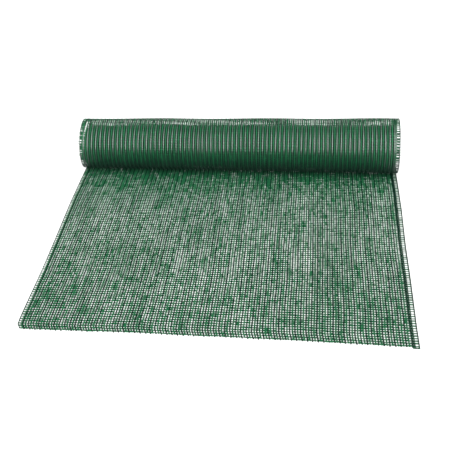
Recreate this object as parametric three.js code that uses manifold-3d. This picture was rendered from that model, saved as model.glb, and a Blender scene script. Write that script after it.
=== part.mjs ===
// A length of knitted shade netting, rolled up loosely with its free end lying flat in front.
// Millimetres, +Z up. The roll lies along X and the free end points towards -Y.
// The origin is on the floor, under the middle of the whole.
import * as THREE from "three";
import { mergeVertices } from "three/addons/utils/BufferGeometryUtils.js";
import Module from "manifold-3d";

// The net, as it is knitted
const NET_HALF_WIDTH = 500;
const NET_THICKNESS = 2;
const BOLD_CHAIN_PITCH = 13.45;
const LAYER_GAP = 0.3;

// The roll: loose outer turn, wound body inside it, eye through the middle
const ROLL_RADIUS_LEFT = 78.8;
const ROLL_RADIUS_RIGHT = 85.8;
const ROLL_WAVE_HEIGHT = 0.5;
const ROLL_WAVE_LENGTH = 340;
const FLAT_SPOT_SINK = 1.4;
const STEP_AHEAD = 5;
const BODY_LOOSENESS = 12;
const BODY_FUSED_DEPTH = 0.5;
const BODY_END_INSET = 11;
const EYE_RADIUS = 14;
const END_WAVE = 1.4;
const ROUND_STEPS = 52;
const BODY_STEPS = 40;
const EYE_STEPS = 18;
const LENGTH_STEPS = 11;
const BORE_OVERRUN = 20;

// The wound turns that show on the ends, as one spiral groove each
const GROOVE_TURNS = 4;
const GROOVE_WIDTH = 2.4;
const GROOVE_DEPTH = 6;
const GROOVE_MARGIN = 7;
const GROOVE_STEPS_PER_TURN = 22;

// The free end: how far its cut edge and its sides reach, measured from under the roll's axis
const CUT_EDGE = [
  { x: -500, reach: 852.0 },
  { x: -340, reach: 851.3 },
  { x: -197, reach: 851.8 },
  { x: -77, reach: 855.7 },
  { x: 63, reach: 858.2 },
  { x: 222, reach: 862.6 },
  { x: 357, reach: 867.7 },
  { x: 500, reach: 873.0 },
];
const SIDES = [
  { reach: 0, left: -497, right: 497 },
  { reach: 100, left: -499.5, right: 499 },
  { reach: 250, left: -502, right: 500.5 },
  { reach: 430, left: -501.5, right: 498.5 },
  { reach: 600, left: -502, right: 500 },
  { reach: 800, left: -506, right: 500 },
  { reach: 836, left: -505.5, right: 500.5 },
  { reach: 873, left: -486, right: 501 },
];
const SHEET_COLUMNS = 26;
const SHEET_ROWS = 18;
const SHEET_WAVES = [
  { height: 0.45, across: 410, along: 620, shift: 0.6 },
  { height: 0.35, across: -270, along: 350, shift: 2.1 },
];
const WAVE_START = 120;

// The cut ends of the chains, alternately bold and thin, and the bunched end of the right selvedge
const STUBS = [
  { kind: "bold", width: 2.4, length: 6.5, offset: 0 },
  { kind: "thin", width: 1.4, length: 3.8, offset: BOLD_CHAIN_PITCH / 2 },
];
const STUB_HEIGHT = 1.7;
const STUB_ROOT = 3;
const STUB_UNEVENNESS = 0.25;
const TAB = { left: 484, right: 501, reach: 881.5, slant: 2 };

// Where the roll's axis lies, so that the origin is under the middle of the whole
const REACH_FRONT = TAB.reach;
const REACH_BACK = ROLL_RADIUS_RIGHT + ROLL_WAVE_HEIGHT;
const ROLL_Y = (REACH_FRONT - REACH_BACK) / 2;
const LEFTMOST = Math.min(...SIDES.map((row) => row.left));
const RIGHTMOST = NET_HALF_WIDTH + END_WAVE;
const MIDDLE_X = (LEFTMOST + RIGHTMOST) / 2;

const wasm = await Module();
wasm.setup();

// Value of a column of a table at a place between its rows
function between(table, key, column, at) {
  const last = table.length - 1;
  if (at <= table[0][key]) return table[0][column];
  if (at >= table[last][key]) return table[last][column];
  const next = table.findIndex((row) => row[key] > at);
  const low = table[next - 1];
  const high = table[next];
  const share = (at - low[key]) / (high[key] - low[key]);
  return low[column] + share * (high[column] - low[column]);
}

// Closed solid through equal sections that follow each other along +X.
// Each section goes anticlockwise as seen from +X.
function loft(sections) {
  const corners = sections[0].length;
  const indices = [];
  for (let s = 0; s < sections.length - 1; s++)
    for (let i = 0; i < corners; i++) {
      const near = s * corners + i;
      const nearNext = s * corners + ((i + 1) % corners);
      indices.push(near, nearNext, nearNext + corners);
      indices.push(near, nearNext + corners, near + corners);
    }
  const end = (sections.length - 1) * corners;
  const capOf = (section) =>
    THREE.ShapeUtils.triangulateShape(
      section.map((p) => new THREE.Vector2(p.y, p.z)),
      [],
    );
  for (const [a, b, c] of capOf(sections[0])) indices.push(a, c, b);
  for (const [a, b, c] of capOf(sections[sections.length - 1]))
    indices.push(end + a, end + b, end + c);
  const geometry = new THREE.BufferGeometry();
  geometry.setFromPoints(sections.flat());
  geometry.setIndex(indices);
  return geometry;
}

// A closed geometry as a solid that can be joined and cut
function solidOf(geometry) {
  const bare = geometry.clone();
  bare.deleteAttribute("normal");
  bare.deleteAttribute("uv");
  const merged = mergeVertices(bare, 1e-3);
  return new wasm.Manifold(
    new wasm.Mesh({
      numProp: 3,
      vertProperties: new Float32Array(merged.attributes.position.array),
      triVerts: new Uint32Array(merged.index.array),
    }),
  );
}

// A solid as a geometry with its normals
function geometryOf(solid) {
  const mesh = solid.getMesh();
  const geometry = new THREE.BufferGeometry();
  geometry.setAttribute("position", new THREE.BufferAttribute(mesh.vertProperties, 3));
  geometry.setIndex(new THREE.BufferAttribute(mesh.triVerts, 1));
  geometry.computeVertexNormals();
  return geometry;
}

// The roll's radius swells from left to right, with a slight wave along it
function rollRadius(x) {
  const share = (x + NET_HALF_WIDTH) / (2 * NET_HALF_WIDTH);
  const taper = ROLL_RADIUS_LEFT + share * (ROLL_RADIUS_RIGHT - ROLL_RADIUS_LEFT);
  return taper + ROLL_WAVE_HEIGHT * Math.sin((2 * Math.PI * x) / ROLL_WAVE_LENGTH);
}

// Places along the roll, from its left end to its right end
function alongRoll(halfLength) {
  return Array.from(
    { length: LENGTH_STEPS + 1 },
    (_, i) => -halfLength + (2 * halfLength * i) / LENGTH_STEPS,
  );
}

// Outer face of the outer turn at x. It starts on the floor, goes round by the back, over the top
// and down the front, and comes in over the free end by one layer.
function outerSection(x) {
  const radius = rollRadius(x);
  const middle = radius - FLAT_SPOT_SINK;
  const layer = NET_THICKNESS + LAYER_GAP;
  const endShare = x / NET_HALF_WIDTH;
  const points = [new THREE.Vector3(x, -STEP_AHEAD, 0)];
  for (let i = 0; i < ROUND_STEPS; i++) {
    const turn = (2 * Math.PI * i) / ROUND_STEPS;
    const r = radius - (layer * i) / ROUND_STEPS;
    const y = r * Math.sin(turn);
    if (i > ROUND_STEPS / 2 && y > -STEP_AHEAD) continue;
    const lowest = i < ROUND_STEPS / 2 ? 0 : layer;
    const z = Math.max(middle - r * Math.cos(turn), lowest);
    const wave = END_WAVE * Math.sin(3 * turn) * endShare ** 9;
    points.push(new THREE.Vector3(x + wave, y, z));
  }
  points.push(new THREE.Vector3(x, -STEP_AHEAD, layer));
  return points;
}

// Inner face of the outer turn at x, flat where two layers lie on the floor
function innerSection(x) {
  const radius = rollRadius(x);
  const middle = radius - FLAT_SPOT_SINK;
  const layer = NET_THICKNESS + LAYER_GAP;
  const points = [];
  for (let i = 0; i < ROUND_STEPS; i++) {
    const turn = (2 * Math.PI * i) / ROUND_STEPS;
    const r = radius - NET_THICKNESS - (layer * i) / ROUND_STEPS;
    const z = Math.max(middle - r * Math.cos(turn), layer + NET_THICKNESS);
    points.push(new THREE.Vector3(x, r * Math.sin(turn), z));
  }
  return points;
}

// Height of the wound body's middle at x: it lies on the outer turn's lowest part
function bodyMiddle(x) {
  const seat = 2 * NET_THICKNESS + LAYER_GAP - BODY_FUSED_DEPTH;
  return seat + rollRadius(x) - BODY_LOOSENESS;
}

function roundSection(x, y, z, radius, steps) {
  return Array.from({ length: steps }, (_, i) => {
    const turn = (2 * Math.PI * i) / steps;
    return new THREE.Vector3(x, y + radius * Math.cos(turn), z + radius * Math.sin(turn));
  });
}

// The tightly wound turns, one solid body
function woundBody() {
  const sections = alongRoll(NET_HALF_WIDTH - BODY_END_INSET).map((x) =>
    roundSection(x, 0, bodyMiddle(x), rollRadius(x) - BODY_LOOSENESS, BODY_STEPS),
  );
  return solidOf(loft(sections));
}

// The eye that is left in the middle of a roll wound without a core
function eye() {
  const sections = [-NET_HALF_WIDTH - BORE_OVERRUN, NET_HALF_WIDTH + BORE_OVERRUN].map((x) =>
    roundSection(x, 0, bodyMiddle(Math.sign(x) * NET_HALF_WIDTH), EYE_RADIUS, EYE_STEPS),
  );
  return solidOf(loft(sections));
}

// Spiral groove that parts the turns on one end of the wound body
function spiralGroove(side) {
  const face = side * (NET_HALF_WIDTH - BODY_END_INSET);
  const depths = [face - side * GROOVE_DEPTH, face + side * GROOVE_DEPTH].sort((a, b) => a - b);
  const first = EYE_RADIUS + GROOVE_MARGIN;
  const last = rollRadius(face) - BODY_LOOSENESS - GROOVE_MARGIN;
  const steps = GROOVE_TURNS * GROOVE_STEPS_PER_TURN;
  const sections = depths.map((x) => {
    const outside = [];
    const inside = [];
    for (let i = 0; i <= steps; i++) {
      const turn = (2 * Math.PI * i) / GROOVE_STEPS_PER_TURN;
      const radius = first + ((last - first) * i) / steps;
      for (const [list, r] of [
        [outside, radius + GROOVE_WIDTH / 2],
        [inside, radius - GROOVE_WIDTH / 2],
      ])
        list.push(
          new THREE.Vector3(x, r * Math.cos(turn), bodyMiddle(face) + r * Math.sin(turn)),
        );
    }
    return [...outside, ...inside.reverse()];
  });
  return solidOf(loft(sections));
}

// The whole roll: loose outer turn with the wound body lying in it
function woundRoll() {
  const skin = solidOf(loft(alongRoll(NET_HALF_WIDTH).map(outerSection)));
  const places = alongRoll(NET_HALF_WIDTH);
  places[0] -= BORE_OVERRUN;
  places[places.length - 1] += BORE_OVERRUN;
  const hollow = solidOf(loft(places.map(innerSection)));
  const roll = skin
    .subtract(hollow)
    .add(woundBody())
    .subtract(eye())
    .subtract(spiralGroove(-1))
    .subtract(spiralGroove(1));
  return geometryOf(roll);
}

// Slight waves of the net where it lies free, none near the roll
function sheetWave(x, reach) {
  const fade = THREE.MathUtils.smoothstep(reach, 0, WAVE_START);
  const wave = SHEET_WAVES.reduce(
    (sum, w) =>
      sum + w.height * Math.sin(2 * Math.PI * (x / w.across + reach / w.along) + w.shift),
    0,
  );
  return fade * wave;
}

// One column of the free end, from the cut edge back to the roll, flat below
function sheetColumn(share) {
  const cut = between(CUT_EDGE, "x", "reach", NET_HALF_WIDTH * (2 * share - 1));
  const start = STEP_AHEAD + LAYER_GAP;
  const below = [];
  const above = [];
  for (let row = 0; row <= SHEET_ROWS; row++) {
    const reach = cut - ((cut - start) * row) / SHEET_ROWS;
    const left = between(SIDES, "reach", "left", reach);
    const right = between(SIDES, "reach", "right", reach);
    const x = left + share * (right - left);
    below.push(new THREE.Vector3(x, -reach, 0));
    above.push(new THREE.Vector3(x, -reach, NET_THICKNESS + sheetWave(x, reach)));
  }
  return [...below, ...above.reverse()];
}

// The cut edge's fringe of chain ends, with a root strip that lies inside the sheet
function stubFringe() {
  const outline = [];
  const rootAt = (x) => -between(CUT_EDGE, "x", "reach", x) + STUB_ROOT;
  const cutAt = (x) => -between(CUT_EDGE, "x", "reach", x) + STUB_ROOT / 4;
  const first = -NET_HALF_WIDTH + BOLD_CHAIN_PITCH;
  const last = TAB.left - BOLD_CHAIN_PITCH / 2;
  const addStub = (x, width, length) => {
    const tip = cutAt(x) - STUB_ROOT / 4 - length;
    outline.push([x - width / 2, cutAt(x)], [x - width / 2, tip]);
    outline.push([x + width / 2, tip], [x + width / 2, cutAt(x)]);
  };
  outline.push([first - BOLD_CHAIN_PITCH / 2, cutAt(first)]);
  for (let x = first; x < last; x += BOLD_CHAIN_PITCH)
    for (const stub of STUBS) {
      const unevenness = 1 + STUB_UNEVENNESS * Math.sin(x + 3 * stub.offset);
      addStub(x + stub.offset, stub.width, stub.length * unevenness);
    }
  outline.push([TAB.left, cutAt(TAB.left)], [TAB.left + TAB.slant, -TAB.reach]);
  outline.push([TAB.right - TAB.slant, -TAB.reach], [TAB.right, cutAt(TAB.right)]);
  outline.push([TAB.right - TAB.slant, rootAt(TAB.right)]);
  for (const row of CUT_EDGE.slice(1, -1).reverse()) outline.push([row.x, rootAt(row.x)]);
  outline.push([first - BOLD_CHAIN_PITCH / 2, rootAt(first)]);
  const shape = new THREE.Shape(outline.map(([x, y]) => new THREE.Vector2(x, y)));
  return new THREE.ExtrudeGeometry(shape, { depth: STUB_HEIGHT, bevelEnabled: false });
}

// The free end: one flat sheet with its fringe
function looseEnd() {
  const columns = [];
  for (let i = 0; i <= SHEET_COLUMNS; i++) columns.push(sheetColumn(i / SHEET_COLUMNS));
  return geometryOf(solidOf(loft(columns)).add(solidOf(stubFringe())));
}

// Green tape yarn, slightly glossy plastic
function netMesh(name, geometry) {
  const material = new THREE.MeshStandardMaterial({
    color: 0x2f6b4f,
    roughness: 0.45,
    metalness: 0,
    flatShading: true,
  });
  const mesh = new THREE.Mesh(geometry, material);
  mesh.name = name;
  return mesh;
}

const netting = new THREE.Group();
netting.add(netMesh("wound_roll", woundRoll()));
netting.add(netMesh("loose_end", looseEnd()));
netting.position.set(-MIDDLE_X, ROLL_Y, 0);

export default netting;
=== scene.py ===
"""Knitted shade netting, a loose roll with its free end lying flat in front of it.

Metres, +Z up, in the frame's own axes: the roll lies along X and the free end points to -Y.
The net is built yarn by yarn. Guide lines for its chains and tapes are laid out here, and one
Geometry Nodes tree sweeps every guide line into a closed strand.
"""

import math

import bpy
import numpy as np
from mathutils import Matrix, Vector


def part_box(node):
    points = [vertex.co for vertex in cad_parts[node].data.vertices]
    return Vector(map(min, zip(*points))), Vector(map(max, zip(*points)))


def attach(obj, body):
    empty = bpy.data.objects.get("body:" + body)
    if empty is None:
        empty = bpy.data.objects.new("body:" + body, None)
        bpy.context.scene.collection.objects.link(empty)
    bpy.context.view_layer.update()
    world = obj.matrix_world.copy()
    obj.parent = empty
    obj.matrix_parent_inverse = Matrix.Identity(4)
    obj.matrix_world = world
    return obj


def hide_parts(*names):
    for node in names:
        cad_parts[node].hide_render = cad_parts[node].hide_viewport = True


bl_info = {
    "name": "Shade netting roll",
    "version": (1, 0, 0),
    "blender": (4, 5, 0),
    "location": "View3D > Sidebar > Shade netting",
    "description": "Builds a partly unrolled length of knitted shade netting",
    "category": "Add Mesh",
}

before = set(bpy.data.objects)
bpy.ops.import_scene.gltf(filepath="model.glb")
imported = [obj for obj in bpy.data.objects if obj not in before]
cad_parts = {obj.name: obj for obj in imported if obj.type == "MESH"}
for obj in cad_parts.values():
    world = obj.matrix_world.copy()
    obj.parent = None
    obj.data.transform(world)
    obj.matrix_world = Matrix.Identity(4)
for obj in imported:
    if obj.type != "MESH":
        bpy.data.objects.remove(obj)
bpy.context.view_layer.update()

MM = 0.001

# The net across its width, measured from its middle line
NET_WIDTH = 1.0
BOLD_CHAINS = 73
FIRST_BOLD = -486.5 * MM
BOLD_PITCH = 13.45 * MM

# What closes each side, from the net outwards: kind, place, width as a share of a bold chain, tone
SELVEDGES = {
    -1: (
        ("thin", -0.4892, 0.62, 0.62),
        ("thin", -0.4916, 0.62, 0.66),
        ("bold", -0.4986, 0.66, 0.16),
    ),
    1: (
        ("bold", 0.4850, 0.78, 0.14),
        ("bold", 0.4880, 0.74, 0.22),
        ("bold", 0.4983, 0.86, 0.04),
    ),
}

# The roll, as in the frame: loose outer turn, and the wound body that lies in it
ROLL_LOW, ROLL_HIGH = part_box("wound_roll")
ROLL_X = (ROLL_LOW.x + ROLL_HIGH.x) / 2
RADIUS_LEFT = 78.8 * MM
RADIUS_RIGHT = 85.8 * MM
RADIUS_WAVE = 0.5 * MM
RADIUS_WAVE_LENGTH = 0.340
ROLL_Y = ROLL_HIGH.y - RADIUS_RIGHT - RADIUS_WAVE
# How far the roll's own weight presses its lowest line in
FLAT_SPOT_SINK = 1.4 * MM
# One layer of net, which the outer turn's radius loses in one turn
LAYER = 2.3 * MM
# Height of the net's middle over the floor, and how far in front of the axis the free end starts
NET_MIDDLE = 1.6 * MM
FOOT_REACH = 5.3 * MM
# The wound body: what its radius lacks to the outer turn's, and the height of its lowest line
BODY_LOOSENESS = 14.2 * MM
BODY_SEAT = 5 * MM
BODY_HALF_WIDTH = 489 * MM
# How far below the body's surface its parts lie
INNER_TURN_DEPTH = 0.5 * MM
END_TURNS_DEPTH = 2.4 * MM
CORE_DEPTH = 2.9 * MM
# The eye through its middle, the turns' pitch, and the strip of net that shows on its ends
EYE_RADIUS = 14 * MM
TURN_PITCH = 1.72 * MM
END_STRIP = 15 * MM

# The free end's cut edge and sides: (place across, reach) and (reach, left, right)
CUT_EDGE = (
    (-0.500, 0.8520),
    (-0.340, 0.8513),
    (-0.197, 0.8518),
    (-0.077, 0.8557),
    (0.063, 0.8582),
    (0.222, 0.8626),
    (0.357, 0.8677),
    (0.500, 0.8730),
)
SIDES = (
    (0.000, -0.4970, 0.4970),
    (0.100, -0.4995, 0.4990),
    (0.250, -0.5020, 0.5005),
    (0.430, -0.5015, 0.4985),
    (0.600, -0.5020, 0.5000),
    (0.800, -0.5060, 0.5000),
    (0.836, -0.5055, 0.5005),
    (0.873, -0.4860, 0.5010),
)
FREE_LENGTH = 0.857
STUB_LENGTH = 6.5 * MM
TAB_LENGTH = 9.5 * MM

# Kinds of strand: section sides, and thickness as a share of width
KINDS = ("bold", "thin", "weft", "film")
SECTIONS = {"bold": (4, 0.64), "thin": (3, 0.45), "weft": (3, 0.36), "film": (3, 0.12)}
# A three-sided section is this much narrower than the circle round it
TRIANGLE_HALF = 0.866
# Tone of each kind, from 0, the dark yarn colour, to 1, the brighter tape colour
TONES = {"bold": 0.06, "thin": 0.5, "weft": 0.62, "film": 0.72}
TAPE_TONE_NOISE = {"weft": 0.12, "film": 0.14}
# How far the tapes twist, in radians: usual and most
TAPE_TWIST = {"weft": (0.12, 0.2), "film": (0.08, 0.15)}
# How far the tapes lie below the chains' middle
TAPE_SINK = {"weft": 0.2 * MM, "film": 0.5 * MM}

# How far the chains drift sideways, and the strip along each outer cord where that fades out
WIDE_DRIFT = 1.3 * MM
FINE_DRIFT = 0.5 * MM
OUTER_CORD = 498.5 * MM
HELD_STRIP = 20 * MM
# The free end rises a little off the floor, fully so from this reach on
FLOOR_RISE = 0.7 * MM
RISEN_AT = 0.12
# The outer turn stands out by this much, and is a little narrower where it starts below
OUTER_SWELL = 1.1 * MM
NARROWING_BELOW = 0.006
NARROWED_TO = 1.2
# Where along the net each turn reads its drift, so that no two of them run alike
OUTER_TURN_START = 1.2
BODY_TURN_START = 2.4

# Unevenness of the chains: slow and station by station in width, station by station in tone
CHAIN_SWELL = 0.16
CHAIN_NOISE = (0.92, 1.08)
CHAIN_TONE_NOISE = 0.06
# Tone lost where a chain runs heavy, and the painted shade that darkens the hollow between two
# loops
HEAVY_TONE = 0.1
HOLLOW_PAINTED_SHADE = 1.1
# Chain ends past the cut edge: reach as a share of their stub, sideways lean, and taper
FRAY_REACH = (0.75, 1.12)
FRAY_LEAN = 0.6 * MM
FRAY_TAPER = (0.6, 0.9)
# Stubs of the thin chains and of the left selvedge, as shares of a bold chain's
THIN_STUB = 0.6
LEFT_STUB = 0.4

# Unevenness of the weft tapes, which are wider at the cut edge
TAPE_SLIP = 0.9 * MM
WEFT_NOISE = (0.8, 1.2)
CUT_EDGE_WEFT = 1.2
# How the film's share of the mesh varies, its limits, and what is left of it at a chain
STREAKS = 0.22
PATCHES = 0.04
CLOSED_NOISE = 0.15
CLOSED_RANGE = (0.24, 1.05)
NARROWED_AT_CHAIN = 0.9
# The same for the ladder along each selvedge, and how far it follows where the mesh closes
EDGE_NOISE = (0.55, 1.2)
EDGE_DRAWN = 0.8
# Tone that the film gains in the middle of a mesh
FILM_MIDDLE_TONE = 0.16

# Strength of the light from each part of the sky, and from the floor
PANEL_LIGHT = 6.4
CEILING_LIGHT = 2.3
BACK_LIGHT = 0.14
HORIZON_LIGHT = 0.8
FLOOR_GLOW = 0.45

# Sizes of the materials' patterns, and what polyethylene bends light by
STRETCH_SIZE = 9 * MM
STRETCH_TONE = 0.18
FIBRE_SIZE = 1.2 * MM
WOUND_GRAIN = 4 * MM
POLYETHYLENE_IOR = 1.53

# Camera, worked out from the outline of the net in the photo
IMAGE_SIZE = 450
FOCAL_PIXELS = 954.5
SENSOR = 36.0
CAMERA_PLACE = (0.2242, -2.6841, 1.5116)
CAMERA_YAW = 5.91
CAMERA_PITCH = 32.77
CAMERA_ROLL = -1.88


def hex_colour(code):
    """An sRGB hex colour as linear red, green, blue and alpha."""
    values = [int(code[i : i + 2], 16) / 255 for i in (0, 2, 4)]
    linear = [v / 12.92 if v <= 0.04045 else ((v + 0.055) / 1.055) ** 2.4 for v in values]
    return (*linear, 1.0)


def add_node(tree, kind, settings=None, inputs=None):
    """Adds a node. Inputs are values or sockets to link from, by the input's name or number."""
    node = tree.nodes.new(kind)
    for key, value in (settings or {}).items():
        setattr(node, key, value)
    for key, value in (inputs or {}).items():
        if isinstance(value, bpy.types.NodeSocket):
            tree.links.new(value, node.inputs[key])
        else:
            node.inputs[key].default_value = value
    return node


class NetSizes(bpy.types.PropertyGroup):
    """Sizes of the knit."""

    bold_width: bpy.props.FloatProperty(
        name="Bold chain width", description="Width of every second lengthwise chain",
        default=4.6 * MM, unit="LENGTH",
    )
    thin_width: bpy.props.FloatProperty(
        name="Thin chain width", description="Width of the chains between the bold ones",
        default=4.2 * MM, unit="LENGTH",
    )
    course_pitch: bpy.props.FloatProperty(
        name="Course pitch", description="Length of net between two weft tapes",
        default=9.6 * MM, unit="LENGTH",
    )
    weft_width: bpy.props.FloatProperty(
        name="Weft tape width", description="Width of the tape that crosses the chains",
        default=1.9 * MM, unit="LENGTH",
    )
    closed_share: bpy.props.FloatProperty(
        name="Closed share", description="How far the film tape closes the mesh, on average",
        default=0.59, min=0, max=1, subtype="FACTOR",
    )


class NetColours(bpy.types.PropertyGroup):
    """Colours of the yarn and of the floor."""

    yarn: bpy.props.FloatVectorProperty(
        name="Yarn", description="Dark green of the bold chains",
        default=hex_colour("031D13")[:3], subtype="COLOR", min=0, max=1,
    )
    tape: bpy.props.FloatVectorProperty(
        name="Tape", description="Brighter green of the tapes, one layer thick",
        default=hex_colour("064E2B")[:3], subtype="COLOR", min=0, max=1,
    )
    floor: bpy.props.FloatVectorProperty(
        name="Floor", description="Pale floor", default=hex_colour("969696")[:3],
        subtype="COLOR", min=0, max=1,
    )


def sizes():
    return bpy.context.scene.shade_net_sizes


def colours():
    return bpy.context.scene.shade_net_colours


def smooth_field(seed, across_cell, along_cell):
    """A smooth random surface of mean 0 over the net, as a function of places in metres."""
    rows, columns = 160, 260
    grid = np.random.default_rng(seed).uniform(-1, 1, (rows, columns))

    def at(across, along):
        # Moved so that the net's places start above 0
        column = (across + NET_WIDTH) / across_cell
        row = (along + NET_WIDTH / 10) / along_cell
        i = np.floor(row).astype(int)
        j = np.floor(column).astype(int)
        v = row - i
        u = column - j
        u = u * u * (3 - 2 * u)
        v = v * v * (3 - 2 * v)
        near = grid[i % rows, j % columns] * (1 - u) + grid[i % rows, (j + 1) % columns] * u
        i += 1
        far = grid[i % rows, j % columns] * (1 - u) + grid[i % rows, (j + 1) % columns] * u
        return near * (1 - v) + far * v

    return at


# How the knit wanders, lies, slips and closes, each with the size of its patches in metres
WANDER_WIDE = smooth_field(11, 0.090, 0.120)
WANDER_FINE = smooth_field(12, 0.014, 0.045)
LIFT = smooth_field(13, 0.110, 0.160)
FILL_STREAKS = smooth_field(14, 0.0045, 0.042)
FILL_PATCHES = smooth_field(15, 0.035, 0.060)
FILM_SIDE = smooth_field(16, 0.020, 0.030)
SLIP = smooth_field(17, 0.022, 0.016)
CHAIN_WEIGHT = smooth_field(18, 0.010, 0.180)


def stack(x, y, z):
    return np.stack(np.broadcast_arrays(x, y, z), axis=-1)


def wandered(across, length):
    """Chains don't run quite straight: a slow drift shared by neighbours, and a small one alone."""
    free = np.clip((OUTER_CORD - np.abs(across)) / HELD_STRIP, 0, 1)
    drift = WIDE_DRIFT * WANDER_WIDE(across, length) + FINE_DRIFT * WANDER_FINE(across, length)
    return across + free * drift


def lie_flat(across, length):
    """The free end: length in metres runs from 0 at the cut edge to FREE_LENGTH at the foot."""
    across, length = np.broadcast_arrays(across, length)
    cut = np.interp(across, [row[0] for row in CUT_EDGE], [row[1] for row in CUT_EDGE])
    reach = cut + (FOOT_REACH - cut) * length / FREE_LENGTH
    moved = wandered(across, reach)
    left = np.interp(reach, [row[0] for row in SIDES], [row[1] for row in SIDES])
    right = np.interp(reach, [row[0] for row in SIDES], [row[2] for row in SIDES])
    x = left + (right - left) * (moved / NET_WIDTH + 0.5)
    risen = np.clip(reach / RISEN_AT, 0, 1)
    z = NET_MIDDLE + risen * FLOOR_RISE * (1 + LIFT(across, reach))
    points = stack(x + ROLL_X, ROLL_Y - reach, z)
    return points, stack(0 * x, 0 * x, 1 + 0 * x), stack(0 * x, 1 + 0 * x, 0 * x)


def roll_radius(across):
    taper = RADIUS_LEFT + (across / NET_WIDTH + 0.5) * (RADIUS_RIGHT - RADIUS_LEFT)
    return taper + RADIUS_WAVE * np.sin(2 * math.pi * across / RADIUS_WAVE_LENGTH)


def around(across, radius, middle, turn):
    """Points, outward normals and run of a turn round the roll's axis, 0 being lowest."""
    points = stack(across + ROLL_X, ROLL_Y + radius * np.sin(turn), middle - radius * np.cos(turn))
    normals = stack(0 * radius, np.sin(turn), -np.cos(turn))
    return points, normals, stack(0 * radius, np.cos(turn), np.sin(turn))


def lie_on_outer_turn(across, length):
    """The outer turn: from under the roll, up its back, over the top and down the front."""
    across, length = np.broadcast_arrays(across, length)
    radius = roll_radius(across)
    turn = length / ((RADIUS_LEFT + RADIUS_RIGHT) / 2) - math.asin(FOOT_REACH / RADIUS_LEFT)
    r = radius + OUTER_SWELL - LAYER * np.clip(turn, 0, None) / (2 * math.pi)
    narrow = 1 - NARROWING_BELOW * np.clip(1 - turn / NARROWED_TO, 0, 1)
    moved = wandered(across, OUTER_TURN_START + length) * narrow
    points, normals, forward = around(moved, r, radius - FLAT_SPOT_SINK, turn)
    lowest = np.where(turn < math.pi, NET_MIDDLE, NET_MIDDLE + LAYER)
    points[..., 2] = np.maximum(points[..., 2], lowest)
    return points, normals, forward


def body_middle(across):
    return BODY_SEAT + roll_radius(across) - BODY_LOOSENESS


def lie_on_body(across, length):
    """The turn below the outer one, which lies tight on the wound body."""
    across, length = np.broadcast_arrays(across, length)
    r = roll_radius(across) - BODY_LOOSENESS - INNER_TURN_DEPTH
    moved = wandered(across, BODY_TURN_START + length) * 2 * BODY_HALF_WIDTH / NET_WIDTH
    turn = length / (RADIUS_LEFT - BODY_LOOSENESS)
    return around(moved, r, body_middle(across), turn)


def strands(kind, laid, radius, tone, rise=0.0):
    """Guide lines of one kind: one row a strand, one column a station along it."""
    points, normals = laid[:2]
    shape = points.shape[:2]
    return {
        "kind": np.full(shape, KINDS.index(kind)),
        "points": points + rise * normals,
        "normals": normals,
        "radius": np.broadcast_to(radius, shape),
        "tone": np.broadcast_to(tone, shape),
    }


def guide_object(name, groups):
    """All guide lines of a piece as one mesh of loose edges, with what the sweep needs."""
    edges = []
    start = 0
    for group in groups:
        shape = group["kind"].shape
        numbers = start + np.arange(math.prod(shape)).reshape(shape)
        edges.append(np.stack([numbers[:, :-1].ravel(), numbers[:, 1:].ravel()], axis=1))
        start += math.prod(shape)
    edges = np.concatenate(edges)
    flat = {
        key: np.concatenate([g[key].reshape(-1, *g[key].shape[2:]) for g in groups])
        for key in groups[0]
    }
    mesh = bpy.data.meshes.new(name)
    mesh.vertices.add(start)
    mesh.vertices.foreach_set("co", flat["points"].astype(np.float32).ravel())
    mesh.edges.add(len(edges))
    mesh.edges.foreach_set("vertices", edges.astype(np.int32).ravel())
    for key, kind, field, number in (
        ("kind", "INT", "value", np.int32),
        ("normals", "FLOAT_VECTOR", "vector", np.float32),
        ("radius", "FLOAT", "value", np.float32),
        ("tone", "FLOAT", "value", np.float32),
    ):
        attribute = mesh.attributes.new("strand_" + key, kind, "POINT")
        attribute.data.foreach_set(field, flat[key].astype(number).ravel())
    mesh.update()
    piece = bpy.data.objects.new(name, mesh)
    bpy.context.scene.collection.objects.link(piece)
    return piece


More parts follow.
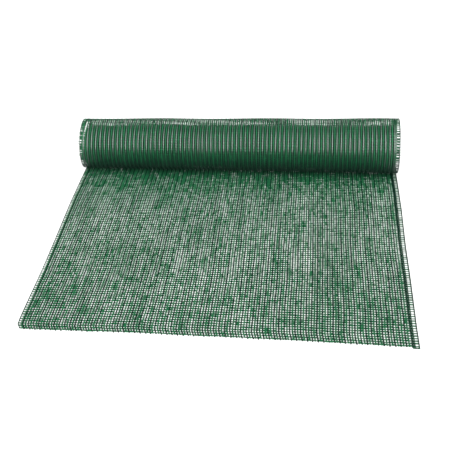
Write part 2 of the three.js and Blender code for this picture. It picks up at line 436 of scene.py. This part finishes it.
def sweep_tree():
    """Geometry Nodes tree that sweeps every guide line into a closed strand of its kind."""
    tree = bpy.data.node_groups.new("Knitted strands", "GeometryNodeTree")
    new_socket = tree.interface.new_socket
    new_socket("Geometry", in_out="INPUT", socket_type="NodeSocketGeometry")
    for kind in KINDS:
        new_socket(f"{kind} sides", in_out="INPUT", socket_type="NodeSocketInt")
        new_socket(f"{kind} flatness", in_out="INPUT", socket_type="NodeSocketFloat")
    new_socket("Cord material", in_out="INPUT", socket_type="NodeSocketMaterial")
    new_socket("Tape material", in_out="INPUT", socket_type="NodeSocketMaterial")
    new_socket("Geometry", in_out="OUTPUT", socket_type="NodeSocketGeometry")
    source = add_node(tree, "NodeGroupInput")
    named = {}
    for key, sort in (("kind", "INT"), ("radius", "FLOAT"), ("normals", "FLOAT_VECTOR")):
        node = add_node(
            tree, "GeometryNodeInputNamedAttribute", {"data_type": sort}, {"Name": "strand_" + key}
        )
        named[key] = node.outputs["Attribute"]
    joined = add_node(tree, "GeometryNodeJoinGeometry")
    for number, kind in enumerate(KINDS):
        is_kind = add_node(
            tree, "FunctionNodeCompare", {"data_type": "INT", "operation": "EQUAL"},
            {2: named["kind"], 3: number},
        )
        lines = add_node(
            tree, "GeometryNodeMeshToCurve", None,
            {"Mesh": source.outputs["Geometry"], "Selection": is_kind.outputs[0]},
        )
        turned = add_node(
            tree, "GeometryNodeSetCurveNormal", {"mode": "FREE"},
            {"Curve": lines.outputs[0], "Normal": named["normals"]},
        )
        circle = add_node(
            tree, "GeometryNodeCurvePrimitiveCircle", None,
            {"Resolution": source.outputs[f"{kind} sides"], "Radius": 1.0},
        )
        scale = add_node(
            tree, "ShaderNodeCombineXYZ", None,
            {"X": source.outputs[f"{kind} flatness"], "Y": 1.0, "Z": 1.0},
        )
        section = add_node(
            tree, "GeometryNodeTransform", None,
            {"Geometry": circle.outputs["Curve"], "Scale": scale.outputs[0]},
        )
        swept = add_node(
            tree, "GeometryNodeCurveToMesh", None,
            {
                "Curve": turned.outputs[0],
                "Profile Curve": section.outputs[0],
                "Scale": named["radius"],
                "Fill Caps": True,
            },
        )
        tree.links.new(swept.outputs[0], joined.inputs[0])
    realized = add_node(
        tree, "GeometryNodeRealizeInstances", None, {"Geometry": joined.outputs[0]}
    )
    # Only the bold chains are glossy enough to show highlights
    is_cord = add_node(
        tree, "FunctionNodeCompare", {"data_type": "INT", "operation": "EQUAL"},
        {2: named["kind"], 3: KINDS.index("bold")},
    )
    tapes_painted = add_node(
        tree, "GeometryNodeSetMaterial", None,
        {"Geometry": realized.outputs[0], "Material": source.outputs["Tape material"]},
    )
    cords_painted = add_node(
        tree, "GeometryNodeSetMaterial", None,
        {
            "Geometry": tapes_painted.outputs[0],
            "Selection": is_cord.outputs[0],
            "Material": source.outputs["Cord material"],
        },
    )
    add_node(tree, "NodeGroupOutput", None, {"Geometry": cords_painted.outputs[0]})
    return tree


def knit_piece(name, groups):
    """Sweeps the guide lines of a piece and leaves a plain mesh object of that name."""
    tree = bpy.data.node_groups.get("Knitted strands") or sweep_tree()
    guides = guide_object(name + "_guides", groups)
    modifier = guides.modifiers.new("Strands", "NODES")
    modifier.node_group = tree
    sockets = {
        item.name: item.identifier
        for item in tree.interface.items_tree
        if item.in_out == "INPUT"
    }
    for kind, (sides, flatness) in SECTIONS.items():
        modifier[sockets[f"{kind} sides"]] = sides
        modifier[sockets[f"{kind} flatness"]] = flatness
    modifier[sockets["Cord material"]] = cord_material()
    modifier[sockets["Tape material"]] = tape_material()
    view = bpy.context.evaluated_depsgraph_get()
    mesh = bpy.data.meshes.new_from_object(guides.evaluated_get(view))
    guides.modifiers.remove(modifier)
    old = guides.data
    bpy.data.objects.remove(guides)
    bpy.data.meshes.remove(old)
    mesh.name = name
    for spare in ("strand_kind", "strand_radius", "strand_normals"):
        if spare in mesh.attributes:
            mesh.attributes.remove(mesh.attributes[spare])
    piece = bpy.data.objects.new(name, mesh)
    bpy.context.scene.collection.objects.link(piece)
    return piece


def cord_material():
    """Polyethylene yarn knitted into the bold chains: drawn smooth, so it has narrow highlights."""
    return yarn_material("Green polyethylene cord", smooth=0.14, rough=0.3, gloss=0.85)


def tape_material():
    """Polyethylene film, slit and stretched: its surface is split into fibres, so nearly matt."""
    return yarn_material("Green polyethylene tape", smooth=0.45, rough=0.65, gloss=0.14)


def yarn_material(name, smooth, rough, gloss):
    """Chains hold many layers and read dark; a single tape lets light in and reads brighter.

    smooth and rough are the roughness's limits, and gloss is the specular level."""
    if name in bpy.data.materials:
        return bpy.data.materials[name]
    material = bpy.data.materials.new(name)
    material.use_nodes = True
    tree = material.node_tree
    shader = tree.nodes["Principled BSDF"]
    tone = add_node(tree, "ShaderNodeAttribute", {"attribute_name": "strand_tone"})
    place = add_node(tree, "ShaderNodeTexCoord")
    # Uneven stretch of the tape shows over about a centimetre
    stretch = add_node(
        tree, "ShaderNodeTexNoise", None,
        {"Vector": place.outputs["Object"], "Scale": 1 / STRETCH_SIZE, "Detail": 3.0},
    )
    shift = add_node(
        tree, "ShaderNodeMapRange", None,
        {
            "Value": stretch.outputs["Fac"],
            "From Min": 0.3, "From Max": 0.7, "To Min": -STRETCH_TONE, "To Max": STRETCH_TONE,
        },
    )
    depth = add_node(
        tree, "ShaderNodeMath", {"operation": "ADD", "use_clamp": True},
        {0: tone.outputs["Fac"], 1: shift.outputs[0]},
    )
    colour = add_node(
        tree, "ShaderNodeMix", {"data_type": "RGBA"},
        {0: depth.outputs[0], 6: (*colours().yarn, 1), 7: (*colours().tape, 1)},
    )
    tree.links.new(colour.outputs[2], shader.inputs["Base Color"])
    roughness = add_node(
        tree, "ShaderNodeMapRange", None,
        {"Value": stretch.outputs["Fac"], "To Min": smooth, "To Max": rough},
    )
    tree.links.new(roughness.outputs[0], shader.inputs["Roughness"])
    # The tape's fibrillated surface, drawn coarser than the real 0.1 mm so that it shows
    fibre = add_node(
        tree, "ShaderNodeTexNoise", None,
        {"Vector": place.outputs["Object"], "Scale": 1 / FIBRE_SIZE, "Detail": 2.0},
    )
    bump = add_node(
        tree, "ShaderNodeBump", None,
        {"Height": fibre.outputs["Fac"], "Strength": 0.2, "Distance": 0.3 * MM},
    )
    tree.links.new(bump.outputs[0], shader.inputs["Normal"])
    shader.inputs["IOR"].default_value = POLYETHYLENE_IOR
    shader.inputs["Specular IOR Level"].default_value = gloss
    return material


def body_material():
    """Many wound turns of the same net, seen as one and ribbed by its chains; its colours are
    painted shade, far darker than the yarn's.
    """
    material = bpy.data.materials.new("Wound polyethylene net")
    material.use_nodes = True
    tree = material.node_tree
    shader = tree.nodes["Principled BSDF"]
    place = add_node(tree, "ShaderNodeTexCoord")
    # The wave texture makes 20 bands in 2 pi of its scaled length
    ribs = add_node(
        tree, "ShaderNodeTexWave", {"bands_direction": "X"},
        {
            "Vector": place.outputs["Object"],
            "Scale": 2 * math.pi / (20 * BOLD_PITCH), "Distortion": 1.0,
        },
    )
    noise = add_node(
        tree, "ShaderNodeTexNoise", None,
        {"Vector": place.outputs["Object"], "Scale": 1 / WOUND_GRAIN, "Detail": 3.0},
    )
    share = add_node(
        tree, "ShaderNodeMath", {"operation": "MULTIPLY"},
        {0: ribs.outputs["Fac"], 1: noise.outputs["Fac"]},
    )
    # Painted shade: both colours are much darker than the yarn's, for the shade down inside the
    # wound turns
    colour = add_node(
        tree, "ShaderNodeMix", {"data_type": "RGBA"},
        {0: share.outputs[0], 6: hex_colour("010604"), 7: hex_colour("031C12")},
    )
    tree.links.new(colour.outputs[2], shader.inputs["Base Color"])
    shader.inputs["Roughness"].default_value = 0.6
    bump = add_node(
        tree, "ShaderNodeBump", None,
        {"Height": share.outputs[0], "Strength": 0.6, "Distance": 1 * MM},
    )
    tree.links.new(bump.outputs[0], shader.inputs["Normal"])
    return material


def bold_places(first, last):
    """Places across of the bold chains from number first to number last."""
    return FIRST_BOLD + BOLD_PITCH * np.arange(first, last + 1)


def edge_places(side):
    """Places across of the lines that close one side, from the net outwards, or none."""
    return np.array([row[1] for row in SELVEDGES.get(side, ())])


def twisted(laid, angle):
    """The same stations with their normals turned about the strand's run across the net."""
    points, normals, forward = laid
    return points, normals * np.cos(angle)[..., None] + forward * np.sin(angle)[..., None]


def chains(lay, along, first, last, sides, rng, shade, fray=False, bead=0.76, thin_share=1.0):
    """Lengthwise chains and cords through the stations along, frayed past the first or not.

    shade gives the painted light and shade added to the tone at each length, bead is the
    share of a bold chain's width that is left between two loops, and thin_share that of the thin
    chains all along."""
    bold = bold_places(first, last)
    beads = np.where(np.arange(len(along)) % 2 == 0, 1.0, bead)
    groups = []

    def lines(kind, places, width, steps, swell, tone, stub):
        across = np.repeat(places[:, None], len(steps), axis=1)
        length = np.repeat(steps[None], len(places), axis=0)
        heavy = CHAIN_WEIGHT(across, length)
        weight = 1 + CHAIN_SWELL * heavy
        radius = width / 2 * swell * weight * rng.uniform(*CHAIN_NOISE, across.shape)
        # The hollow between two loops is darkened with painted shade
        tones = tone + shade(length) + HOLLOW_PAINTED_SHADE * (swell - 1) - HEAVY_TONE * heavy
        tones += rng.uniform(-CHAIN_TONE_NOISE, CHAIN_TONE_NOISE, across.shape)
        if fray:
            reach = stub * rng.uniform(*FRAY_REACH, len(places))[:, None]
            lean = rng.normal(0, FRAY_LEAN, len(places))[:, None]
            across = np.hstack([across[:, :1] + lean, across[:, :1] + lean / 2, across])
            length = np.hstack([-reach, -reach / 2, length])
            tip, neck = FRAY_TAPER
            radius = np.hstack([tip * radius[:, :1], neck * radius[:, :1], radius])
            tones = np.hstack([tones[:, :1], tones[:, :1], tones])
        groups.append(strands(kind, lay(across, length), radius, tones))

    lines("bold", bold, sizes().bold_width, along, beads, TONES["bold"], STUB_LENGTH)
    thin = (bold[:-1] + bold[1:]) / 2
    width = thin_share * sizes().thin_width
    lines("thin", thin, width, along[::2], 1.0, TONES["thin"], THIN_STUB * STUB_LENGTH)
    for side in sides:
        for kind, place, share, tone in SELVEDGES[side]:
            stub = TAB_LENGTH if side > 0 else LEFT_STUB * STUB_LENGTH
            lines(kind, np.array([place]), share * sizes().bold_width, along, beads, tone, stub)
    return groups


def tape(kind, laid, width, tone, rng):
    """Crosswise tapes of one kind, a little uneven in tone and twist."""
    shape = width.shape
    tone = tone + rng.uniform(-TAPE_TONE_NOISE[kind], TAPE_TONE_NOISE[kind], shape)
    usual, most = TAPE_TWIST[kind]
    turned = twisted(laid, np.clip(rng.normal(0, usual, shape), -most, most))
    return strands(kind, turned, width / 2 / TRIANGLE_HALF, tone, -TAPE_SINK[kind])


def tapes(lay, courses, first, last, sides, rng, shade, drawn=0.0, edge_fill=0.5):
    """Crosswise tapes: a weft tape on each course, and a film tape that partly fills the mesh.

    drawn closes the mesh further, as one value or one a course, and edge_fill is how far the
    film fills the ladder along each selvedge."""
    bold = bold_places(first, last)
    low = edge_places(-1)[::-1] if -1 in sides else edge_places(0)
    high = edge_places(1) if 1 in sides else edge_places(0)
    pitch = courses[1] - courses[0]

    places = np.concatenate([low, np.linspace(bold[0], bold[-1], 2 * len(bold) - 1), high])
    across = np.repeat(places[None], len(courses), axis=0)
    along = np.repeat(courses[:, None], len(places), axis=1)
    slip = TAPE_SLIP * SLIP(across, along)
    width = sizes().weft_width * rng.uniform(*WEFT_NOISE, across.shape)
    width[0] *= CUT_EDGE_WEFT
    slip[0] = 0
    tone = TONES["weft"] + shade(along)
    groups = [tape("weft", lay(across, along + slip), width, tone, rng)]

    places = np.concatenate([low, np.linspace(bold[0], bold[-1], 4 * len(bold) - 3), high])
    in_mesh = np.concatenate([0 * low, np.tile([0, 1, 0, 1], len(bold) - 1), [0], 0 * high])
    across = np.repeat(places[None], len(courses) - 1, axis=0)
    along = np.repeat(courses[:-1, None], len(places), axis=1)
    drawn = np.broadcast_to(drawn, len(along))[:, None]
    fill = STREAKS * FILL_STREAKS(across, along) + PATCHES * FILL_PATCHES(across, along)
    closed = sizes().closed_share + drawn + fill + rng.normal(0, CLOSED_NOISE, across.shape)
    closed = np.clip(closed, *CLOSED_RANGE)
    between = (np.roll(closed, 1, axis=1) + np.roll(closed, -1, axis=1)) / 2
    closed = np.where(in_mesh == 1, closed, NARROWED_AT_CHAIN * between)
    uneven = edge_fill * rng.uniform(*EDGE_NOISE, (len(along), 1))
    uneven = uneven + EDGE_DRAWN * np.clip(drawn, 0, 1)
    if -1 in sides:
        closed[:, : len(low) + 1] = uneven
    if 1 in sides:
        closed[:, len(places) - len(high) - 1 :] = uneven
    width = closed * pitch
    side = (1 + FILM_SIDE(across, along)) / 2
    shift = side * (width - sizes().weft_width) / 2 + TAPE_SLIP * SLIP(across, along)
    tone = TONES["film"] + FILM_MIDDLE_TONE * in_mesh + shade(along)
    groups.append(tape("film", lay(across, along + shift), width, tone, rng))
    return groups


def even(length):
    """The shade of a stretch of net that has the same tone all along."""
    return 0 * length


def net_width(first, last, sides):
    """Width across of a piece between two bold chains, with its selvedges."""
    width = (last - first) * BOLD_PITCH
    if -1 in sides:
        width += FIRST_BOLD + NET_WIDTH / 2
    if 1 in sides:
        width += NET_WIDTH / 2 - bold_places(0, BOLD_CHAINS - 1)[-1]
    return width


def dress(piece, node, flat):
    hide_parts(node)
    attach(piece, "root")


def stations(first, last, step):
    """Course places at about this step, and chain stations twice as close."""
    along = np.linspace(first, last, 2 * round((last - first) / step) + 1)
    return along[::2], along


class SHADENET_OT_camera(bpy.types.Operator):
    """Set the camera at the photo's viewing angle"""

    bl_idname = "shade_net.camera"
    bl_label = "Camera"

    def execute(self, context):
        data = bpy.data.cameras.new("Camera")
        data.sensor_width = SENSOR
        data.lens = FOCAL_PIXELS / IMAGE_SIZE * SENSOR
        camera = bpy.data.objects.new("Camera", data)
        turn = (
            Matrix.Rotation(math.radians(CAMERA_YAW), 3, "Z")
            @ Matrix.Rotation(math.radians(90 - CAMERA_PITCH), 3, "X")
            @ Matrix.Rotation(math.radians(CAMERA_ROLL), 3, "Z")
        )
        place = Vector(CAMERA_PLACE) + Vector((ROLL_X, ROLL_Y, 0))
        camera.matrix_world = Matrix.Translation(place) @ turn.to_4x4()
        context.scene.collection.objects.link(camera)
        context.scene.camera = camera
        return {"FINISHED"}


class SHADENET_OT_free_end(bpy.types.Operator):
    """Knit the free end that lies flat, in three lengthwise bands"""

    bl_idname = "shade_net.free_end"
    bl_label = "Free end"
    # Next to the roll's foot: how far the mesh closes, and the painted shade by which the tone
    # falls, each with its fading
    foot_strip = 15 * MM
    foot_drawn = 0.8
    foot_drawn_fade = 80 * MM
    foot_painted_shade = -0.6
    foot_painted_shade_fade = 50 * MM

    def execute(self, context):
        courses, along = stations(0, FREE_LENGTH, sizes().course_pitch)
        for name, first, last, sides in (
            ("free_end_left", 0, 24, (-1,)),
            ("free_end_middle", 24, 48, ()),
            ("free_end_right", 48, 72, (1,)),
        ):
            rng = np.random.default_rng(100 + first)
            groups = chains(lie_flat, along, first, last, sides, rng, self.shade, fray=True)
            drawn = self.drawn(courses[:-1])
            groups += tapes(lie_flat, courses, first, last, sides, rng, self.shade, drawn)
            if 1 in sides:
                groups.append(self.bunched_corner())
            piece = knit_piece(name, groups)
            dress(piece, "loose_end", (net_width(first, last, sides), FREE_LENGTH))
        return {"FINISHED"}

    def drawn(self, courses):
        """How much further the mesh closes towards the roll."""
        to_foot = FREE_LENGTH - self.foot_strip - courses
        return self.foot_drawn * np.exp(-to_foot / self.foot_drawn_fade)

    def shade(self, length):
        """Painted shade: the net's tone darkens towards the roll's foot, where the roll shades it.
        """
        return self.foot_painted_shade * np.exp(-(FREE_LENGTH - length) / self.foot_painted_shade_fade)

    def bunched_corner(self):
        """The weft that holds the right selvedge's cut ends together in a bunch."""
        across = np.array([[0.4825, 0.4870, 0.4925, 0.4975, 0.5000]] * 2)
        length = np.array([[-7.5 * MM] * 5, [-5.0 * MM] * 5])
        radius = np.array([[1.8, 2.2, 1.3, 2.2, 1.6]] * 2) * MM
        return strands("thin", lie_flat(across, length), radius, 0.2)


class SHADENET_OT_outer_turn(bpy.types.Operator):
    """Knit the loose outer turn of the roll, in two halves"""

    bl_idname = "shade_net.outer_turn"
    bl_label = "Outer turn"
    overlap = 13 * MM
    length = math.pi * (RADIUS_LEFT + RADIUS_RIGHT) + overlap
    # Its knit: course pitch as a share of the free end's, beads, thin chains, mesh and ladder
    packed_pitch = 0.86
    bead = 0.6
    thin_share = 0.75
    drawn = -0.26
    edge_fill = 0.98
    # Painted shade added to the tapes' tone, and the painted shade that the front adds from one
    # share of the length to another
    tape_painted_shade = -0.45
    front_painted_shade = -0.8
    front_start = 0.72
    front_run = 0.2
    # Painted light added to the chains' tone, and how strongly they follow the tapes' painted shade
    chain_painted_light = 0.9
    chain_follow = 1.3

    def execute(self, context):
        length = self.length
        courses, along = stations(0, length, self.packed_pitch * sizes().course_pitch)
        for name, first, last, sides in (
            ("outer_turn_left", 0, 36, (-1,)),
            ("outer_turn_right", 36, 72, (1,)),
        ):
            rng = np.random.default_rng(200 + first)
            groups = chains(
                lie_on_outer_turn, along, first, last, sides, rng, self.chain_painted_light_and_shade,
                bead=self.bead, thin_share=self.thin_share,
            )
            groups += tapes(
                lie_on_outer_turn, courses, first, last, sides, rng, self.tape_shade,
                self.drawn, self.edge_fill,
            )
            if -1 in sides:
                groups.append(self.loose_loops(rng))
            piece = knit_piece(name, groups)
            dress(piece, "wound_roll", (net_width(first, last, sides), length))
        return {"FINISHED"}

    def tape_shade(self, length):
        """Painted shade: darker than the free end's tapes, and darker still down the front to the
        roll's foot.
        """
        part = np.clip((length / self.length - self.front_start) / self.front_run, 0, 1)
        return self.tape_painted_shade + self.front_painted_shade * part * part * (3 - 2 * part)

    def chain_painted_light_and_shade(self, length):
        """Painted light and shade: brighter than the free end's chains of the same yarn, but as
        dark towards the roll's foot.
        """
        return self.chain_painted_light + self.chain_follow * self.tape_shade(length)

    def loose_loops(self, rng):
        """Small loops of yarn that have come out of the left edge, high on the roll's front."""
        swing = np.linspace(0, math.pi, 7)[None]
        base = np.array([[0.318], [0.334], [0.347], [0.355], [0.395]])
        reach = rng.uniform(3.5, 7.5, base.shape) * MM
        across = -OUTER_CORD - reach * np.sin(swing)
        length = base + 2.5 * MM * np.cos(swing) + 0 * reach
        return strands("thin", lie_on_outer_turn(across, length), 0.8 * MM, 0.5)


class SHADENET_OT_inner_turn(bpy.types.Operator):
    """Knit the turn below the outer one, which lies on the wound body"""

    bl_idname = "shade_net.inner_turn"
    bl_label = "Inner turn"

    def execute(self, context):
        length = 2 * math.pi * (RADIUS_LEFT - BODY_LOOSENESS)
        courses = stations(0, length, sizes().course_pitch)[0]
        rng = np.random.default_rng(300)
        groups = chains(lie_on_body, courses, 0, BOLD_CHAINS - 1, (-1, 1), rng, even)
        # Only its weft tapes: the film would hide the dark wound turns below
        groups += tapes(lie_on_body, courses, 0, BOLD_CHAINS - 1, (-1, 1), rng, even)[:1]
        # Painted shade: the inner turn's tones are cut to this share, as it lies in the outer
        # turn's shade
        painted_shade_share = 0.15
        for group in groups:
            group["tone"] = painted_shade_share * group["tone"]
        piece = knit_piece("inner_turn", groups)
        mean_length = math.pi * (RADIUS_LEFT + RADIUS_RIGHT - 2 * BODY_LOOSENESS)
        dress(piece, "wound_roll", (2 * BODY_HALF_WIDTH, mean_length))
        return {"FINISHED"}


class SHADENET_OT_end_turns(bpy.types.Operator):
    """Wind the edges of all the turns below, as they show on the roll's two ends"""

    bl_idname = "shade_net.end_turns"
    bl_label = "End turns"
    stations_a_turn = 34
    # How unevenly the edges lie: from turn to turn sideways, and in width and tone
    creep = 1.3 * MM
    width_noise = (0.85, 1.1)
    tone_noise = 0.12
    # What shows of the net's edge: kind, depth from the roll's end, half width, tone
    strip = (
        ("bold", 1.3 * MM, 1.15 * MM, 0.1),
        ("film", 6.0 * MM, 3.2 * MM, 0.6),
        ("thin", 10.5 * MM, 0.85 * MM, 0.3),
        ("thin", 13.5 * MM, 0.85 * MM, 0.3),
    )

    def execute(self, context):
        for name, side in (("end_turns_left", -1), ("end_turns_right", 1)):
            rng = np.random.default_rng(400 + side)
            face = side * NET_WIDTH / 2
            outermost = roll_radius(face) - BODY_LOOSENESS - END_TURNS_DEPTH
            count = round((outermost - EYE_RADIUS) / TURN_PITCH)
            turn = np.linspace(0, 2 * math.pi * count, self.stations_a_turn * count + 1)[None]
            innermost = EYE_RADIUS + 1 * MM
            radius = innermost + (outermost - innermost) * turn / turn.max()
            creep = self.creep * rng.normal(0, 1, count + 2)
            step = np.interp(turn, 2 * math.pi * np.arange(count + 2), creep)
            # Two waves round the roll, so that the turns' edges aren't quite level
            wave = 0.5 * MM * np.sin(3 * turn + 1.3) + 0.4 * MM * np.sin(7.3 * turn)
            groups = []
            for kind, depth, half_width, tone in self.strip:
                across = side * (BODY_HALF_WIDTH - depth) + step + wave
                laid = around(across, radius, body_middle(face), turn)
                width = half_width * rng.uniform(*self.width_noise, turn.shape)
                tones = tone + rng.uniform(-self.tone_noise, self.tone_noise, turn.shape)
                groups.append(strands(kind, laid, width, tones))
            piece = knit_piece(name, groups)
            length = math.pi * count * (EYE_RADIUS + outermost)
            dress(piece, "wound_roll", (END_STRIP, length))
        return {"FINISHED"}


class SHADENET_OT_wound_core(bpy.types.Operator):
    """Make the wound turns below the inner one as one ribbed body with an eye through it"""

    bl_idname = "shade_net.wound_core"
    bl_label = "Wound core"

    def execute(self, context):
        steps = 48
        eye_rings = 8
        half = BODY_HALF_WIDTH - END_STRIP
        # Two rings to each bold chain, for a rib on it and a hollow beside it
        across = np.linspace(-half, half, 2 * BOLD_CHAINS + 1)
        turn = np.linspace(0, 2 * math.pi, steps, endpoint=False)
        ribs = 0.5 * MM * np.cos(2 * math.pi * (across - FIRST_BOLD) / BOLD_PITCH)
        outer = roll_radius(across) - BODY_LOOSENESS - CORE_DEPTH + ribs
        rings = list(zip(across, outer))
        rings += [(x, EYE_RADIUS - 0.5 * MM) for x in np.linspace(half, -half, eye_rings)]
        verts = []
        for x, r in rings:
            middle = body_middle(x)
            verts += [
                (x + ROLL_X, ROLL_Y + r * math.sin(t), middle - r * math.cos(t)) for t in turn
            ]
        faces = []
        for ring in range(len(rings)):
            after = (ring + 1) % len(rings)
            for i in range(steps):
                j = (i + 1) % steps
                faces.append(
                    (ring * steps + i, ring * steps + j, after * steps + j, after * steps + i)
                )
        mesh = bpy.data.meshes.new("wound_core")
        mesh.from_pydata(verts, [], faces)
        mesh.polygons.foreach_set("use_smooth", [True] * len(faces))
        mesh.materials.append(body_material())
        mesh.update()
        piece = bpy.data.objects.new("wound_core", mesh)
        context.scene.collection.objects.link(piece)
        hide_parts("wound_roll")
        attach(piece, "root")
        return {"FINISHED"}


def studio_world():
    """Soft light: a tall bright panel in front, a dimmer ceiling and a dark back."""
    world = bpy.data.worlds.new("Studio")
    world.use_nodes = True
    tree = world.node_tree
    place = add_node(tree, "ShaderNodeTexCoord")
    split = add_node(tree, "ShaderNodeSeparateXYZ", None, {0: place.outputs["Generated"]})
    front = add_node(
        tree, "ShaderNodeMath", {"operation": "MULTIPLY"}, {0: split.outputs["Y"], 1: -1.0}
    )
    # Height of a direction over the front horizon, in radians
    height = add_node(
        tree, "ShaderNodeMath", {"operation": "ARCTAN2"},
        {0: split.outputs["Z"], 1: front.outputs[0]},
    )
    light = None
    # Where one part of the sky gives way to the next, in degrees, and what the light gains there
    for start, end, change in (
        (-9, -3, PANEL_LIGHT - HORIZON_LIGHT),
        (80, 85, CEILING_LIGHT - PANEL_LIGHT),
        (118, 132, BACK_LIGHT - CEILING_LIGHT),
    ):
        step = add_node(
            tree, "ShaderNodeMapRange", {"interpolation_type": "SMOOTHSTEP"},
            {
                "Value": height.outputs[0],
                "From Min": math.radians(start), "From Max": math.radians(end), "To Max": change,
            },
        )
        light = add_node(
            tree, "ShaderNodeMath", {"operation": "ADD"},
            {0: step.outputs[0], 1: light.outputs[0] if light else HORIZON_LIGHT},
        )
    # Seen past the floor, the sky is plain white like the floor
    path = add_node(tree, "ShaderNodeLightPath")
    seen = add_node(
        tree, "ShaderNodeMix", {"data_type": "FLOAT"},
        {0: path.outputs["Is Camera Ray"], 2: light.outputs[0], 3: 1.0},
    )
    background = tree.nodes["Background"]
    background.inputs["Color"].default_value = (1, 1, 1, 1)
    tree.links.new(seen.outputs[0], background.inputs["Strength"])
    return world


class SHADENET_OT_stage(bpy.types.Operator):
    """Lay the pale floor and set the soft light"""

    bl_idname = "shade_net.stage"
    bl_label = "Stage"

    def execute(self, context):
        # In metres, and just below the net
        half = 15.0
        low = -0.2 * MM
        mesh = bpy.data.meshes.new("floor")
        mesh.from_pydata(
            [(-half, -half, low), (half, -half, low), (half, half, low), (-half, half, low)],
            [], [(0, 1, 2, 3)],
        )
        floor = bpy.data.objects.new("floor", mesh)
        context.scene.collection.objects.link(floor)
        material = bpy.data.materials.new("Pale floor")
        material.use_nodes = True
        shader = material.node_tree.nodes["Principled BSDF"]
        shader.inputs["Base Color"].default_value = (*colours().floor, 1)
        shader.inputs["Roughness"].default_value = 0.9
        # Lit from below like a light table, so that no shadow greys it
        shader.inputs["Emission Color"].default_value = (1, 1, 1, 1)
        shader.inputs["Emission Strength"].default_value = FLOOR_GLOW
        mesh.materials.append(material)
        context.scene.world = studio_world()
        context.scene.view_settings.view_transform = "Standard"
        return {"FINISHED"}


OPERATORS = (
    SHADENET_OT_camera,
    SHADENET_OT_free_end,
    SHADENET_OT_outer_turn,
    SHADENET_OT_inner_turn,
    SHADENET_OT_end_turns,
    SHADENET_OT_wound_core,
    SHADENET_OT_stage,
)


class SHADENET_PT_panel(bpy.types.Panel):
    """Lists the steps that build the netting"""

    bl_idname = "SHADENET_PT_panel"
    bl_label = "Shade netting"
    bl_space_type = "VIEW_3D"
    bl_region_type = "UI"
    bl_category = "Shade netting"

    def draw(self, context):
        for operator in OPERATORS:
            self.layout.operator(operator.bl_idname)


CLASSES = (NetSizes, NetColours, *OPERATORS, SHADENET_PT_panel)


def register():
    for cls in CLASSES:
        bpy.utils.register_class(cls)
    bpy.types.Scene.shade_net_sizes = bpy.props.PointerProperty(type=NetSizes)
    bpy.types.Scene.shade_net_colours = bpy.props.PointerProperty(type=NetColours)


def unregister():
    del bpy.types.Scene.shade_net_sizes
    del bpy.types.Scene.shade_net_colours
    for cls in reversed(CLASSES):
        bpy.utils.unregister_class(cls)


def main():
    register()
    bpy.ops.shade_net.camera()
    bpy.ops.shade_net.free_end()
    bpy.ops.shade_net.outer_turn()
    bpy.ops.shade_net.inner_turn()
    bpy.ops.shade_net.end_turns()
    bpy.ops.shade_net.wound_core()
    bpy.ops.shade_net.stage()


if __name__ == "__main__":
    main()
